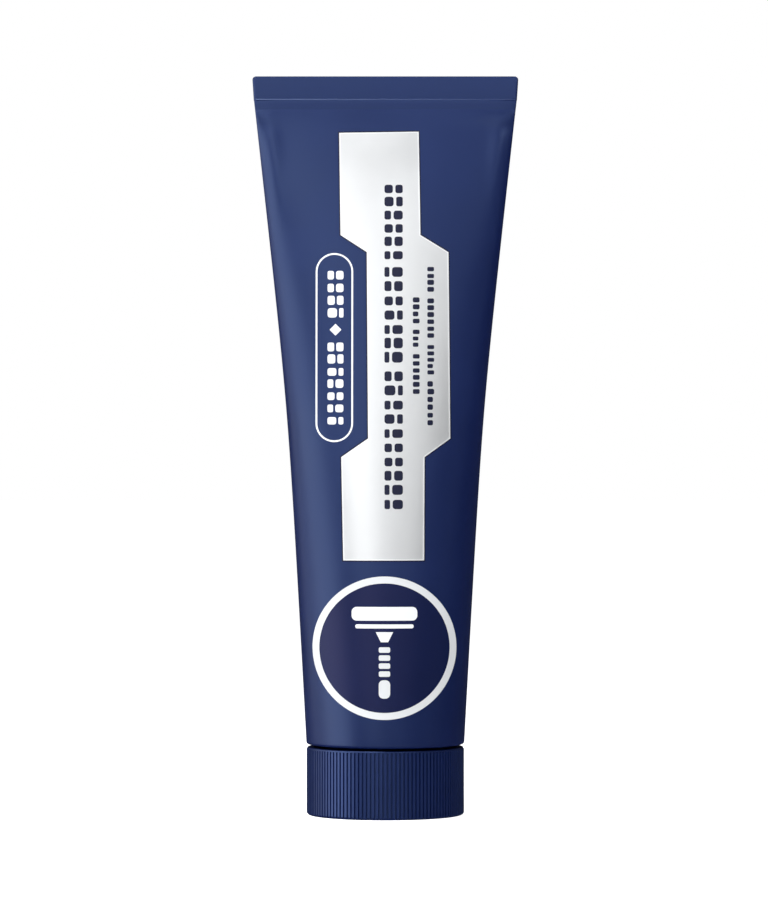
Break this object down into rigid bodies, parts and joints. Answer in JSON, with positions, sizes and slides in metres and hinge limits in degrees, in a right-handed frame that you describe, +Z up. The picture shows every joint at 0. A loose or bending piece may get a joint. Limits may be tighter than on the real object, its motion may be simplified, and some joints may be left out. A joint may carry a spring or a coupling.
{
  "type": "shaving cream tube",
  "caption": "Flattened squeeze tube with a crimped fin that stands on its fluted screw cap; the cap unscrews from a threaded neck.",
  "frame": {"origin": "centre of the cap's flat end, where the tube stands", "axes": "+Z up along the tube to the crimped fin, -Y out of the printed front, +X to the right seen from the front, along the fin"},
  "size_m": [0.0592, 0.035, 0.1642],
  "materials": {
    "cap_plastic": "satin moulded polypropylene, navy",
    "liner_foam": "expanded polyethylene wad, off-white",
    "head_plastic": "navy moulded polyethylene",
    "barrier_foil": "coated aluminium foil",
    "seal_foil": "lacquered foil",
    "cream": "soft white cream",
    "sleeve_laminate": "satin printed laminate, navy",
    "silver_print": "smooth pale silver print",
    "white_print": "smooth white print",
    "navy_print": "smooth navy print"
  },
  "bodies": {
    "cap": {"cap": "cap_plastic"},
    "liner": {"cap_liner": "liner_foam"},
    "tube": {"tube_head": "head_plastic", "barrier_rondelle": "barrier_foil", "foil_seal": "seal_foil", "shaving_cream": "cream", "sleeve": "sleeve_laminate"}
  },
  "joints": [
    {"name": "tube_turn", "type": "hinge", "parent": "cap", "child": "liner", "pos_m": [0, 0, 0], "axis": [0, 0, 1], "range_deg": [0, 1800]},
    {"name": "tube_rise", "type": "slide", "parent": "liner", "child": "tube", "axis": [0, 0, 1], "range_m": [0, 0.0161]}
  ],
  "couplings": [
    {"joint": "tube_rise", "follows": "tube_turn", "m_per_rad": 0.0005093}
  ]
}
